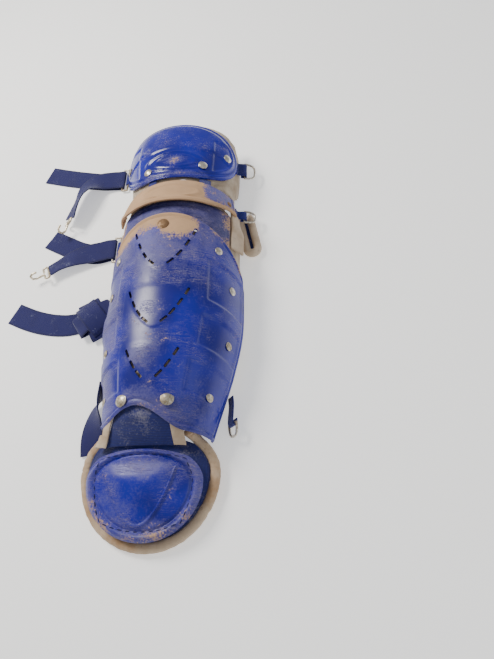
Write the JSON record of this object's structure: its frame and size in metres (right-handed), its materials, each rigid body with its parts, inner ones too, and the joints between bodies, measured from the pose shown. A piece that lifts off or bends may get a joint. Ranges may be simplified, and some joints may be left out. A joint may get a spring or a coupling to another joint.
{
  "type": "catcher leg guard",
  "caption": "Catcher's leg guard lying on its back: arched shin shell with slots, knee plates, thigh cap, toe plate, padding and elastic straps with hooks and D-rings.",
  "frame": {"origin": "middle of the underside's bounding box, on the floor that the guard lies on", "axes": "+Y up the leg from the toe to the thigh, +Z out of the front of the shin, +X towards the side with the D-rings"},
  "size_m": [0.4022, 0.6614, 0.1159],
  "materials": {
    "shell_plastic": "moulded, worn and dusty",
    "band_plastic": "moulded, dusty",
    "mesh_cloth": "padded mesh",
    "strap_elastic": "woven elastic",
    "webbing": "woven webbing",
    "pad_cloth": "padded cloth",
    "nickel": "worn nickel plate"
  },
  "bodies": {
    "root": {"shin_shell": "shell_plastic", "knee_cup": "shell_plastic", "thigh_shell": "shell_plastic", "toe_plate": "shell_plastic", "knee_band": "band_plastic", "toe_pad": "mesh_cloth", "instep_tongue": "mesh_cloth", "thigh_strap": "strap_elastic", "knee_strap": "strap_elastic", "calf_strap": "strap_elastic", "calf_knot": "strap_elastic", "ankle_strap": "strap_elastic", "thigh_link_left": "webbing", "thigh_link_right": "webbing", "thigh_tab_left": "webbing", "thigh_tab_right": "webbing", "knee_tab_left": "webbing", "wing_tab": "webbing", "calf_tab_left": "webbing", "ankle_tab_right": "webbing", "shin_pad": "pad_cloth", "knee_pad": "pad_cloth", "thigh_pad": "pad_cloth", "toe_rim": "pad_cloth", "tongue_binding_left": "pad_cloth", "tongue_binding_right": "pad_cloth", "knee_flap_left": "pad_cloth", "knee_flap_right": "pad_cloth", "knee_wing": "pad_cloth", "thigh_slider": "nickel", "knee_slider": "nickel", "thigh_hook": "nickel", "knee_hook": "nickel", "thigh_ring": "nickel", "wing_ring": "nickel", "ankle_ring": "nickel", "shin_rivet_left_1": "nickel", "shin_rivet_left_2": "nickel", "shin_rivet_left_3": "nickel", "shin_rivet_left_4": "nickel", "shin_rivet_right_1": "nickel", "shin_rivet_right_2": "nickel", "shin_rivet_right_3": "nickel", "shin_rivet_right_4": "nickel", "shin_rivet_bottom_left": "nickel", "shin_rivet_bottom_right": "nickel", "shin_rivet_top": "nickel", "cup_rivet_left": "nickel", "cup_rivet_right": "nickel", "thigh_rivet_outer_left": "nickel", "thigh_rivet_inner_left": "nickel", "thigh_rivet_inner_right": "nickel", "thigh_rivet_outer_right": "nickel"}
  },
  "joints": []
}
